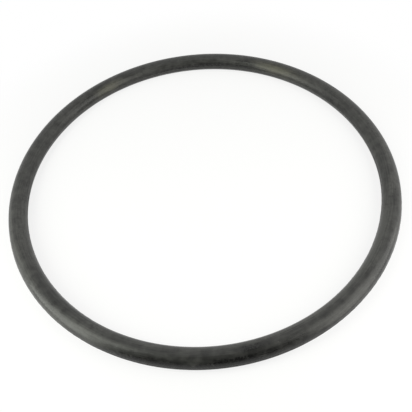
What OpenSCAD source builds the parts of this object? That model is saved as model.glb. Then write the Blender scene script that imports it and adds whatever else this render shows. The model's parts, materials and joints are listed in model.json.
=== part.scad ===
// Rubber o-ring: a one-piece sealing ring with a round section, moulded in a two-part mould.
// It lies flat. The origin is the ring's centre, +Z is its axis, and the two mould halves
// met at z = 0, where a fine trimmed ridge runs round the inside and the outside of the ring.

/* [Ring] */
// Inside diameter of the free ring, clear of the parting line
inside_d = 135; // [20:0.5:600]
// Diameter of the round section
section_d = 7; // [2:0.1:12]

/* [Parting line] */
// Height of the trimmed ridge above the round section
ridge_height = 0.12; // [0.02:0.01:0.2]
// Width of the flat crest that trimming leaves on the ridge
ridge_crest_w = 0.3; // [0.1:0.05:0.5]
// Width of the ridge's root, which lies just below the round surface
ridge_root_w = 0.9; // [0.6:0.05:1.4]

/* [Hidden] */

// Facets of the ring and of its section in a preview
ring_facets = 360;
section_facets = 96;

rubber_black = "#323433";

section_r = section_d / 2;
centre_line_r = inside_d / 2 + section_r;

// The ridge's crest, and its root: the root's corners are one ridge height below the surface
ridge_crest_x = section_r + ridge_height;
ridge_root_x = sqrt(pow(section_r, 2) - pow(ridge_root_w / 2, 2)) - ridge_height;

// The parting line's ridge on the side of the section that faces +X
module ridge_profile() {
    polygon([
        [ridge_root_x, -ridge_root_w / 2],
        [ridge_crest_x, -ridge_crest_w / 2],
        [ridge_crest_x, ridge_crest_w / 2],
        [ridge_root_x, ridge_root_w / 2]
    ]);
}

// The moulded section: a round cord with a ridge on either side, in the parting plane
module ring_profile() {
    circle(r = section_r, $fn = section_facets);
    ridge_profile();
    rotate(180) ridge_profile();
}

// The whole ring is its section turned once round the axis
module o_ring() {
    color(rubber_black)
    rotate_extrude($fn = ring_facets)
    translate([centre_line_r, 0])
    ring_profile();
}

o_ring();
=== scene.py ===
# %% [markdown]
# # A rubber o-ring on a white table
#
# The object is one piece: a ring of black rubber, 149 mm across, with a round section of 7 mm.
# It was pressed in a mould of two halves, which left a fine line of trimmed rubber round the
# inside and round the outside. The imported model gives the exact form, and this script gives the
# surface: the uneven trimmed line, the satin rubber with its grey bloom, and the light.

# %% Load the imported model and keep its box
import json
import math

import bpy
import numpy as np
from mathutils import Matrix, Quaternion, Vector


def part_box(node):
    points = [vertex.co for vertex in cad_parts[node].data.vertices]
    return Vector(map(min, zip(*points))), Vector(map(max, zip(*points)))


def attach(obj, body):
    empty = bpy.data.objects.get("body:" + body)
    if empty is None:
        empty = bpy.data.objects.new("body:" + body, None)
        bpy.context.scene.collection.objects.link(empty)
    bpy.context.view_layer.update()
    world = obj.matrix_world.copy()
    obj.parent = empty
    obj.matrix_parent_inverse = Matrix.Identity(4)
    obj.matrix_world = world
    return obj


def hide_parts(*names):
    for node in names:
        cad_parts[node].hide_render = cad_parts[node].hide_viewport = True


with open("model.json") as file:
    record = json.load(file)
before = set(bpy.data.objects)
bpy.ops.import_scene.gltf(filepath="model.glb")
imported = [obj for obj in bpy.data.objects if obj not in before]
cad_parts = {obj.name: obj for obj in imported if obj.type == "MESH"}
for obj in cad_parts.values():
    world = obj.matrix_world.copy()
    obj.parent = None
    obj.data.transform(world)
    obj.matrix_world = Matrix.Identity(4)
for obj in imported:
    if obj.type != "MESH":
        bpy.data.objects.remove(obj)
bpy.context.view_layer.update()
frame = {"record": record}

MM = 0.001

# %% [markdown]
# ## Sizes
#
# Nothing is measured twice. The record states the radius of the two trimmed crests, one inside the
# ring and one outside, and the node's box gives the ring's height, which is the diameter of its
# section. The rest follows: the crests lie half a section, plus the height of the ridge, to either
# side of the ring's centre line.

# %% Work out the ring's sizes from the frame
crest_radius = {m["name"]: m["dims"]["r_mm"] * MM for m in frame["record"]["mounts"]}
lowest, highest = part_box("o_ring")
section_r = (highest[2] - lowest[2]) / 2
centre_line_r = (crest_radius["outside_diameter"] + crest_radius["inside_diameter"]) / 2
ridge_height = (crest_radius["outside_diameter"] - crest_radius["inside_diameter"]) / 2 - section_r
ridge_crest_w = 0.30 * MM
ridge_root_w = 0.90 * MM
print(f"centre line {centre_line_r / MM:.2f} mm, section {2 * section_r / MM:.2f} mm across")
print(f"ridge {ridge_height / MM:.2f} mm high")

# %% [markdown]
# ## The camera
#
# The ring was seen from close by, about one and a half ring diameters away, and from about fifty
# degrees above the table, so its near side looks half as thick again as its far side. The place of
# the camera was found by fitting a circle of this section to both outlines in the photograph. It is
# written here in ring radii, so it would suit a ring of another size too.

# %% Place the camera
camera_distance = 2.9841 * centre_line_r
camera_elevation = math.radians(50.68)
camera_aim = Vector((0.0070, -0.1751, 0.0)) * centre_line_r
camera_roll = math.radians(-6.34)
camera_lens = 47.755

camera = bpy.data.objects.new("camera", bpy.data.cameras.new("camera"))
bpy.context.scene.collection.objects.link(camera)
bpy.context.scene.camera = camera
camera.data.sensor_width = 36.0
camera.data.lens = camera_lens
camera.data.clip_start = 0.01
camera.data.clip_end = 20.0
camera.location = (
    0.0,
    -camera_distance * math.cos(camera_elevation),
    camera_distance * math.sin(camera_elevation),
)
towards_ring = (camera_aim - camera.location).to_track_quat("-Z", "Y")
camera.rotation_mode = "QUATERNION"
camera.rotation_quaternion = towards_ring @ Quaternion((0, 0, 1), camera_roll)
print("camera at", [round(v / MM, 1) for v in camera.location], "mm")

# %% [markdown]
# ## The ring's mesh
#
# A torus from Blender's menu would have the round section, but not the ridge, and its faces are the
# same size everywhere. Here the section is a list of stations that lie close together across the
# ridge and further apart on the round rubber. The stations are carried round the ring in one step
# with arrays, which is quick and keeps the seam closed: the last row of faces joins the first.

# %% Stations round the section
round_stations = 45
ridge_heights = np.array([-0.31, -0.235, -0.17, -0.13, 0.0, 0.13, 0.17, 0.235, 0.31]) * MM
ridge_foot = 0.42 * MM
foot_angle = math.asin(ridge_foot / section_r)
ridge_angles = np.arcsin(ridge_heights / section_r)
upper_angles = np.linspace(foot_angle, math.pi - foot_angle, round_stations)
section_angles = np.concatenate([
    ridge_angles,
    upper_angles,
    math.pi + ridge_angles,
    math.pi + upper_angles,
])
print(len(section_angles), "stations round the section")


# %% Rise of the ridge above the round section
def ridge_rise(height):
    """How far the full ridge stands out from the round section, at a height above its middle."""
    root_x = math.sqrt(section_r**2 - (ridge_root_w / 2) ** 2) - ridge_height
    crest_x = section_r + ridge_height
    across = (abs(height) - ridge_crest_w / 2) / (ridge_root_w / 2 - ridge_crest_w / 2)
    sloping = crest_x + (root_x - crest_x) * np.clip(across, 0, 1)
    round_x = np.sqrt(section_r**2 - height**2)
    return np.where(abs(height) < ridge_root_w / 2, np.maximum(sloping - round_x, 0), 0)


# %% [markdown]
# ## Uneven rubber
#
# Real rubber is never ideal. The line was trimmed by tearing the thin flash away, so its height
# wanders and a few ragged bits are left, and the cord swells and sinks by a few hundredths of a
# millimetre, which is what makes a long highlight waver. Both come from sums of waves that fit a
# whole number of times round the ring, so no seam shows. The random numbers start from a fixed
# seed, and every run gives the same ring.

# %% Waves that close on themselves
chance = np.random.default_rng(7)


def waves(turns_from, turns_to, count, section_turns=0):
    """A smooth random function of the ring's and the section's angle, about -1 to 1."""
    along = chance.integers(turns_from, turns_to, count)
    round_section = chance.integers(-section_turns, section_turns + 1, count)
    phase = chance.uniform(0, 2 * math.pi, count)

    def height(ring_angle, section_angle):
        total = 0
        for a, s, p in zip(along, round_section, phase):
            total = total + np.cos(a * ring_angle + s * section_angle + p)
        return total / math.sqrt(2 * count)

    return height


swelling = waves(turns_from=3, turns_to=60, count=24, section_turns=3)
tearing = waves(turns_from=20, turns_to=260, count=40)
ragged = waves(turns_from=150, turns_to=430, count=40)

# %% How deep the cord is sunk
ring_stations = 872
ring_angles = np.linspace(0, 2 * math.pi, ring_stations, endpoint=False)
turn, lean = np.meshgrid(ring_angles, section_angles, indexing="ij")

deepest_sunk = 0.020 * MM
usual_sunk_share = 0.5
swell_share = 0.35
sunk = deepest_sunk * np.clip(usual_sunk_share + swell_share * swelling(turn, lean), 0, 1)
print(f"the cord is sunk by {sunk.min() / MM:.3f} to {sunk.max() / MM:.3f} mm")

# %% How high the torn ridge is
tear_share = 0.20
least_left = 0.15


def flash_left(usual, tearing_shift=0, ragged_shift=0):
    """The share of the ridge's full height that trimming left, at every point of the ring."""
    left = usual + tear_share * tearing(turn, tearing_shift)
    left = left + tear_share * ragged(turn, ragged_shift)
    return np.clip(left, least_left, 1)


outer_left = flash_left(0.72)
inner_left = flash_left(0.68, tearing_shift=2, ragged_shift=3)
rise = ridge_rise(section_r * np.sin(lean))
rise = rise * np.where(np.cos(lean) > 0, outer_left, inner_left)
print(f"trimming left {outer_left.mean():.0%} of the ridge outside, {inner_left.mean():.0%} inside")

# %% Build the ring
out = (section_r - sunk) * np.cos(lean) + rise * np.sign(np.cos(lean))
up = (section_r - sunk) * np.sin(lean)
from_axis = centre_line_r + out
points = np.stack([from_axis * np.cos(turn), from_axis * np.sin(turn), up], axis=-1)

rows, columns = turn.shape
index = np.arange(rows * columns).reshape(rows, columns)
next_row = np.roll(index, -1, axis=0)
next_column = np.roll(index, -1, axis=1)
next_both = np.roll(next_row, -1, axis=1)
faces = np.stack([index, next_row, next_both, next_column], axis=-1).reshape(-1, 4)

ring_mesh = bpy.data.meshes.new("moulded_ring")
ring_mesh.from_pydata(points.reshape(-1, 3).tolist(), [], faces.tolist())
ring_mesh.shade_smooth()
ring = bpy.data.objects.new("moulded_ring", ring_mesh)
bpy.context.scene.collection.objects.link(ring)
print(len(ring_mesh.vertices), "points,", 2 * len(ring_mesh.polygons), "triangles")

# %% [markdown]
# ## What the material needs to know
#
# The finish follows the form: streaks run round the ring, and the trimmed crest is duller than the
# moulded rubber. The mesh carries that knowledge as attributes. An angle would jump from 360 back
# to 0 degrees at the seam, so each angle is stored as its cosine and sine, which never jump.


# %% Store the two turns and the ridge on the mesh
def keep(name, kind, field, values):
    """Stores one value or vector for each point of the ring."""
    attribute = ring_mesh.attributes.new(name, kind, "POINT")
    attribute.data.foreach_set(field, np.ascontiguousarray(values, dtype=np.float32).ravel())


flat = np.zeros_like(turn)
ring_circle = np.stack([np.cos(turn), np.sin(turn), flat], axis=-1)
section_circle = np.stack([np.cos(lean), np.sin(lean), flat], axis=-1)
keep("ring_turn", "FLOAT_VECTOR", "vector", ring_circle)
keep("section_turn", "FLOAT_VECTOR", "vector", section_circle)
keep("crest", "FLOAT", "value", rise / ridge_height)

# %% [markdown]
# ## Where the bloom is wiped or thicker, and where shade and light are painted
#
# The rubber is covered with a thin grey bloom, which handling wipes off in places. There the clean
# rubber is darker and a little shinier. The near side has the largest wiped places, and on the
# inside of the ring the bloom has mostly stayed thicker. A noise alone would put such places
# anywhere, so these are laid down one by one. Each is an ellipse on the surface with a soft edge,
# given by its place round the ring, its place round the section, and its half length and half
# width. A strength above 0 wipes the bloom off, and one below 0 thickens it. Many places also paint
# light and shade into the colour. Wiped places darken the lowest near edge as a painted shadow
# mirrored from the table, and they dim parts of the highlights and darken round them as painted
# shade. Thicker places lighten the inner edges as painted light and brighten the far highlights as
# painted highlights. Two places on the inside of the far half, where the far highlights fall, get a
# warmer and brighter grey, which is a painted highlight tint.


# %% Ellipses with soft edges
def soft_places(places):
    """The strengths of these places added up, at every point of the ring."""
    total = np.zeros_like(turn)
    for ring_deg, section_deg, half_length, half_width, strength in places:
        along_ring = np.angle(np.exp(1j * (turn - math.radians(ring_deg)))) * centre_line_r / MM
        along_section = np.angle(np.exp(1j * (lean - math.radians(section_deg)))) * section_r / MM
        soft_edge = np.exp(-((along_ring / half_length) ** 2) - (along_section / half_width) ** 2)
        total = total + strength * soft_edge
    return total


# %% Wiped places and places with thicker bloom, which also paint shade and light
# degrees round the ring, degrees round the section, half length mm, half width mm, strength
# Wiped places: worn bloom, and also painted shade on the lowest near edge, on parts of the
# highlights and round them
wiped_and_shaded_places = [
    (266, 12, 36.0, 1.5, 0.90),
    (251, 42, 12.0, 1.2, 0.45),
    (271, 43, 5.0, 1.1, 0.35),
    (278, 48, 10.0, 1.3, 0.45),
    (289, 61, 4.5, 1.2, 0.45),
    (298, 100, 8.0, 1.2, 0.20),
    (262, 88, 22.0, 2.0, 0.10),
    (278, 93, 6.0, 1.3, 0.55),
    (322, 54, 9.0, 1.6, 0.90),
    (221, 49, 8.0, 1.1, 0.60),
    (222, 88, 8.0, 1.5, 0.35),
    (131, 146, 5.0, 1.5, 0.85),
    (125, 104, 4.0, 1.0, 0.35),
    (91, 180, 55.0, 1.2, 0.50),
    (83, 165, 16.0, 1.6, 0.30),
    (68, 140, 4.5, 1.5, 0.70),
    (30, 166, 18.0, 1.3, 0.35),
]
# Thicker places: thicker bloom, and also painted light on the inner edges and painted highlights on
# the far side
thicker_and_lit_places = [
    (303, 46, 5.0, 1.0, -0.30),
    (321, 82, 4.0, 1.2, -0.35),
    (329, 134, 12.0, 1.7, -1.10),
    (303, 132, 22.0, 1.1, -0.80),
    (272, 120, 24.0, 0.8, -0.25),
    (272, 72, 3.5, 0.9, -0.25),
    (262, 43, 3.5, 0.9, -0.35),
    (251, 121, 5.0, 0.8, -0.40),
    (234, 72, 5.5, 1.3, -0.40),
    (237, 30, 5.0, 0.9, -0.30),
    (236, 118, 5.0, 0.9, -0.40),
    (224, 24, 8.0, 0.8, -0.30),
    (199, 61, 7.0, 0.4, -0.90),
    (187, 62, 5.0, 0.4, -0.60),
    (192, 138, 15.0, 1.9, -0.55),
    (122, 146, 6.0, 1.5, -0.85),
    (57, 137, 6.5, 1.3, -1.00),
    (34, 76, 28.0, 1.2, -0.45),
    (3, 76, 12.0, 1.0, -0.35),
    (347, 92, 5.0, 1.3, -0.45),
]
# One value for both: worn or thicker bloom, and painted shade and light
keep("wear_and_painted_shading", "FLOAT", "value", soft_places(wiped_and_shaded_places + thicker_and_lit_places))
print("bloom wiped off in", len(wiped_and_shaded_places), "places, thicker in", len(thicker_and_lit_places))

# %% Places of the painted highlight tint
# A warmer, brighter grey where the two far highlights fall: a painted highlight tint
highlight_tint_places = [
    (56, 137, 12.0, 2.4, 1.00),
    (123, 146, 8.0, 2.2, 0.80),
]
keep("painted_highlight_tint", "FLOAT", "value", soft_places(highlight_tint_places))

# %% [markdown]
# ## Shader sums in Python
#
# A rubber finish is a handful of noises, multiplied and mixed. Wired by hand, that is a screen of
# small boxes. This class wraps one output of a shader node, so that a plain sum such as
# `0.5 + 0.3 * streak` adds the Math nodes for it, and its one method adds any other node.


# %% A wire that understands sums
class Wire:
    """One output of a shader's node. Sums on it become Math nodes."""

    def __init__(self, tree, socket=None):
        self.tree = tree
        self.socket = socket

    def node(self, kind, settings=None, sockets=None, output=0):
        """Adds a node, its settings first and then its inputs, and gives one of its outputs."""
        made = self.tree.nodes.new(kind)
        for name, setting in (settings or {}).items():
            setattr(made, name, setting)
        for name, value in (sockets or {}).items():
            places = list(enumerate(made.inputs))
            place = next(s for i, s in places if name in (i, s.identifier, s.name) and s.enabled)
            if isinstance(value, Wire):
                self.tree.links.new(value.socket, place)
            else:
                place.default_value = value
        return Wire(self.tree, made.outputs[output] if made.outputs else None)

    def sum(self, operation, first, second):
        """Adds the Math node for one operation."""
        return self.node("ShaderNodeMath", {"operation": operation}, {0: first, 1: second})

    def __add__(self, other):
        return self.sum("ADD", self, other)

    def __radd__(self, other):
        return self.sum("ADD", other, self)

    def __sub__(self, other):
        return self.sum("SUBTRACT", self, other)

    def __rsub__(self, other):
        return self.sum("SUBTRACT", other, self)

    def __mul__(self, other):
        return self.sum("MULTIPLY", self, other)

    def __rmul__(self, other):
        return self.sum("MULTIPLY", other, self)

    def between(self, low, high):
        """0 below low, 1 above high, and a smooth step from one to the other."""
        return self.node(
            "ShaderNodeMapRange",
            {"interpolation_type": "SMOOTHSTEP"},
            {"Value": self, "From Min": low, "From Max": high},
        )


# %% An empty node tree to start from
def emptied(owner):
    """Empties the node tree of a material or a world, and gives a wire to fill it with."""
    owner.use_nodes = True
    owner.node_tree.nodes.clear()
    return Wire(owner.node_tree)


# %% Mixing colours
def mix(share, first, second):
    """The first colour where the share is 0, and the second where it is 1."""
    return share.node(
        "ShaderNodeMix",
        {"data_type": "RGBA"},
        {"Factor_Float": share, "A_Color": first, "B_Color": second},
        output=2,
    )


# %% [markdown]
# ## Black rubber
#
# Moulded nitrile rubber is a deep grey-black with a soft sheen. Three things break it up: bloom in
# patches of a few millimetres, fine streaks that run round the ring from the turned mould, and a
# close grain that only shows in the highlight. Each is a noise at its real scale. The streaks come
# from a noise in four dimensions: both angles are used as circles, so the pattern meets itself
# without a seam and can be stretched along the ring.

# %% Start the rubber material
rubber = bpy.data.materials.new("black_rubber")
paint = emptied(rubber)
ring_place = paint.node("ShaderNodeTexCoord", output="Object")


def stored(name, output="Fac"):
    """Reads one of the ring's own attributes."""
    return paint.node("ShaderNodeAttribute", {"attribute_name": name}, output=output)


def grain(size, detail, rough=0.5):
    """A noise with spots of about this size in metres, the same in every direction."""
    return paint.node(
        "ShaderNodeTexNoise",
        {"noise_dimensions": "3D"},
        {"Vector": ring_place, "Scale": 1 / size, "Detail": detail, "Roughness": rough},
    )


# %% Streaks that run round the ring
def circle_part(name, axis):
    """The cosine (X) or the sine (Y) of a stored angle."""
    return paint.node("ShaderNodeSeparateXYZ", {}, {"Vector": stored(name, "Vector")}, axis)


def streak(length, width, detail):
    """A noise drawn out along the ring, with streaks of about this length and width in metres."""
    along = centre_line_r / length
    across = section_r / width
    spot = paint.node(
        "ShaderNodeCombineXYZ",
        {},
        {
            "X": circle_part("ring_turn", "X") * along,
            "Y": circle_part("ring_turn", "Y") * along,
            "Z": circle_part("section_turn", "X") * across,
        },
    )
    fourth = circle_part("section_turn", "Y") * across
    return paint.node(
        "ShaderNodeTexNoise",
        {"noise_dimensions": "4D"},
        {"Vector": spot, "W": fourth, "Scale": 1.0, "Detail": detail},
    )


# %% The patterns
patches = grain(size=3.2 * MM, detail=3.0)
mottle = grain(size=0.9 * MM, detail=3.0, rough=0.65)
close_grain = grain(size=0.16 * MM, detail=2.0)
long_streaks = streak(length=14 * MM, width=0.38 * MM, detail=3.0)
short_streaks = streak(length=3.5 * MM, width=0.7 * MM, detail=3.0)

# %% Specks of dust
dust_spacing = 1.6 * MM
speck_r, speck_edge_r = 0.05, 0.09
to_nearest = paint.node(
    "ShaderNodeTexVoronoi",
    {"feature": "F1"},
    {"Vector": ring_place, "Scale": 1 / dust_spacing},
    output="Distance",
)
dusty = patches.between(0.55, 0.7)
speck = (1.0 - to_nearest.between(speck_r, speck_edge_r)) * dusty

# %% [markdown]
# ## How thick the bloom lies
#
# The bloom is one number from 0, clean rubber, to 1, thick bloom. It starts at a usual thickness,
# and each pattern takes it up or down by its own weight. Where it was wiped, most of it goes only
# on the high spots of the grain and the streaks, because a finger never wipes clean: that leaves
# the ragged flecks at the edge of a wiped place.

# %% The bloom
usual_bloom = 0.535
noise_middle = 0.5
bloom_weights = [(patches, 0.7), (long_streaks, 0.6), (short_streaks, 0.4), (mottle, 0.3)]
bloom = usual_bloom
for pattern, weight in bloom_weights:
    bloom = bloom + weight * (pattern - noise_middle)

evenly_wiped = 0.34
wiped_in_flecks = 0.92
flecks = mottle.between(0.36, 0.62) * long_streaks.between(0.38, 0.6)
# The wiped and thicker places take the bloom down or up here: wear, and painted shade and light
bloom = bloom - stored("wear_and_painted_shading") * (evenly_wiped + wiped_in_flecks * flecks)
bloom = bloom.between(0.0, 1.0)

# %% Colours of the rubber
clean_black = (0.009, 0.009, 0.009, 1.0)
bloom_grey = (0.066, 0.066, 0.063, 1.0)
# The grey of the painted highlight tint, warmer and brighter than the bloom
highlight_tint_grey = (0.084, 0.082, 0.062, 1.0)
trimmed_grey = (0.065, 0.065, 0.061, 1.0)
dust_grey = (0.16, 0.16, 0.15, 1.0)
trimmed_share = 0.5
dust_share = 0.6

# The painted highlight tint is mixed into the bloom's grey here
bloom_and_highlight_tint = mix(stored("painted_highlight_tint"), bloom_grey, highlight_tint_grey)
# This mix carries the painted shade and light of the places into the colour, together with the
# bloom
colour = mix(bloom, clean_black, bloom_and_highlight_tint)
colour = mix(trimmed_share * stored("crest"), colour, trimmed_grey)
colour = mix(dust_share * speck, colour, dust_grey)

# %% Roughness of the rubber
clean_roughness = 0.27
bloom_dulls = 0.14
grain_dulls = 0.06
crest_dulls = 0.12
roughness = clean_roughness + bloom_dulls * bloom + grain_dulls * (close_grain - noise_middle)
roughness = roughness + crest_dulls * stored("crest")

# %% [markdown]
# ## Relief that is too fine for the mesh
#
# The mould's turning marks and the grain are a few hundredths of a millimetre deep or less. A mesh
# fine enough for them would have millions of faces, so a Bump node tilts the surface instead. Its
# distance is one millimetre, so the heights below are in millimetres.

# %% Relief and surface
close_grain_height = 0.014
long_streak_height = 0.020
short_streak_height = 0.016
mottle_height = 0.030
relief = close_grain_height * close_grain + long_streak_height * long_streaks
relief = relief + short_streak_height * short_streaks + mottle_height * mottle
bumped = paint.node("ShaderNodeBump", {}, {"Height": relief, "Distance": MM, "Strength": 1.0})

rubber_ior = 1.5
rubber_specular = 0.30
surface = paint.node(
    "ShaderNodeBsdfPrincipled",
    {},
    {
        "Base Color": colour,
        "Roughness": roughness,
        "Normal": bumped,
        "IOR": rubber_ior,
        "Specular IOR Level": rubber_specular,
    },
)
paint.node("ShaderNodeOutputMaterial", {}, {"Surface": surface})
print(len(rubber.node_tree.nodes), "nodes in the rubber")

# %% Put the ring in its place
ring_mesh.materials.append(rubber)
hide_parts("o_ring")
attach(ring, "root")

# %% [markdown]
# ## The table
#
# The table is white and wide. Where the camera sees it, or sees it mirrored, it is lifted towards
# full white, so that the picture has a clean background. Near the ring a share of it is still lit
# by the lamps, and that share keeps the ring's own soft shadow. Further out, where no shadow of the
# ring falls, the lift is complete, so nothing shows where the light of a lamp ends. For the light
# that it throws back on the ring it is a plain white board.


# %% Which rays show the background
def shows_background(shader):
    """1 for the camera's rays and for those that gloss and glass send on, and 0 for the rest."""
    mirrored = shader.node("ShaderNodeLightPath", output="Is Glossy Ray")
    mirrored = mirrored + shader.node("ShaderNodeLightPath", output="Is Transmission Ray")
    return mirrored + shader.node("ShaderNodeLightPath", output="Is Camera Ray")


# %% Make the table
table_size = 3.0
table_mesh = bpy.data.meshes.new("table")
half = table_size / 2
corners = [(-half, -half, 0.0), (half, -half, 0.0), (half, half, 0.0), (-half, half, 0.0)]
table_mesh.from_pydata(corners, [], [(0, 1, 2, 3)])
table = bpy.data.objects.new("table", table_mesh)
table.location.z = lowest[2]
bpy.context.scene.collection.objects.link(table)

# %% How far the table is lifted to white
board = bpy.data.materials.new("white_board")
plain = emptied(board)
shadow_reach = 1.1 * crest_radius["outside_diameter"]
clear_reach = 1.5 * shadow_reach
lift_by_ring = 0.8
table_place = plain.node("ShaderNodeTexCoord", output="Object")
from_middle = plain.node(
    "ShaderNodeVectorMath",
    {"operation": "LENGTH"},
    {"Vector": table_place},
    output="Value",
)
lift = lift_by_ring + (1.0 - lift_by_ring) * from_middle.between(shadow_reach, clear_reach)
print(f"the table is full white {clear_reach / MM:.0f} mm from the ring's middle")

# %% The white board
seen = shows_background(plain)
board_white = (0.86, 0.86, 0.86, 1.0)
clear_white = (1.0, 1.0, 1.0, 1.0)
lit = plain.node("ShaderNodeBsdfDiffuse", {}, {"Color": mix(seen, board_white, clear_white)})
glowing = plain.node("ShaderNodeEmission", {}, {"Color": clear_white, "Strength": 1.0})
shown = plain.node("ShaderNodeMixShader", {}, {0: lift * seen, 1: lit, 2: glowing})
plain.node("ShaderNodeOutputMaterial", {}, {"Surface": shown})
table_mesh.materials.append(board)

# %% [markdown]
# ## The light
#
# The highlights show what stood round the ring. There are two on the near side and two on the
# inside of the far side, and they come from two bright panels close to the ring, one on the left
# and one on the right. Elsewhere the rubber mirrors a white room, but the front of the ring and its
# top are dull black, so the side of the camera was dark, up and over the ring's middle. A white
# world, two panels and a black cloth give all of it. A panel's brightness is given as seen in the
# picture, where 1 is white paper, and the watts follow from its area.

# %% The white room
room = bpy.data.worlds.new("white_room")
bpy.context.scene.world = room
air = emptied(room)
room_level = 0.5
room_strength = room_level + (1.0 - room_level) * shows_background(air)
walls = air.node("ShaderNodeBackground", {}, {"Color": clear_white, "Strength": room_strength})
air.node("ShaderNodeOutputWorld", {}, {"Surface": walls})


# %% The two panels
def standing_panel(name, azimuth, distance, width, height, brightness, tint):
    """A lamp that stands on the table and faces the ring's axis. Azimuth 0 degrees is right."""
    lamp = bpy.data.lights.new(name, "AREA")
    lamp.shape = "RECTANGLE"
    lamp.size = width
    lamp.size_y = height
    lamp.energy = math.pi * width * height * brightness
    lamp.color = tint
    turned = math.radians(azimuth)
    outwards = Vector((math.cos(turned), math.sin(turned), 0.0))
    raised = Vector((0.0, 0.0, lowest[2] + height / 2))
    stand = bpy.data.objects.new(name, lamp)
    stand.location = outwards * distance + raised
    stand.rotation_mode = "QUATERNION"
    stand.rotation_quaternion = (-outwards).to_track_quat("-Z", "Y")
    stand.visible_camera = False
    bpy.context.scene.collection.objects.link(stand)
    print(f"{name}: {lamp.energy:.2f} W")


standing_panel(
    "left_panel",
    azimuth=207.8,
    distance=0.168,
    width=0.096,
    height=0.390,
    brightness=5.4,
    tint=(0.97, 1.0, 0.91),
)
standing_panel(
    "right_panel",
    azimuth=329.3,
    distance=0.152,
    width=0.147,
    height=0.262,
    brightness=3.0,
    tint=(1.0, 1.0, 0.94),
)

# %% The black cloth round the camera
# It rises from the table behind the camera and reaches forward over it: y and z in metres
cloth_width = 1.00
cloth_line = [(-0.32, lowest[2]), (-0.32, 0.36), (-0.30, 0.40), (-0.26, 0.41), (-0.04, 0.41)]
cloth_points = [(side * cloth_width / 2, y, z) for y, z in cloth_line for side in (-1, 1)]
cloth_faces = [(2 * i, 2 * i + 1, 2 * i + 3, 2 * i + 2) for i in range(len(cloth_line) - 1)]
cloth_mesh = bpy.data.meshes.new("black_cloth")
cloth_mesh.from_pydata(cloth_points, [], cloth_faces)
cloth = bpy.data.objects.new("black_cloth", cloth_mesh)
cloth.visible_camera = False
bpy.context.scene.collection.objects.link(cloth)
print(f"the cloth is {cloth_width:.1f} m wide, with {len(cloth_line) - 2} folds")

# %% The black velvet of the cloth
velvet = bpy.data.materials.new("black_velvet")
pile = emptied(velvet)
velvet_black = (0.01, 0.01, 0.01, 1.0)
matt = pile.node("ShaderNodeBsdfDiffuse", {}, {"Color": velvet_black})
pile.node("ShaderNodeOutputMaterial", {}, {"Surface": matt})
cloth_mesh.materials.append(velvet)

# %% Plain colours
bpy.context.scene.view_settings.view_transform = "Standard"
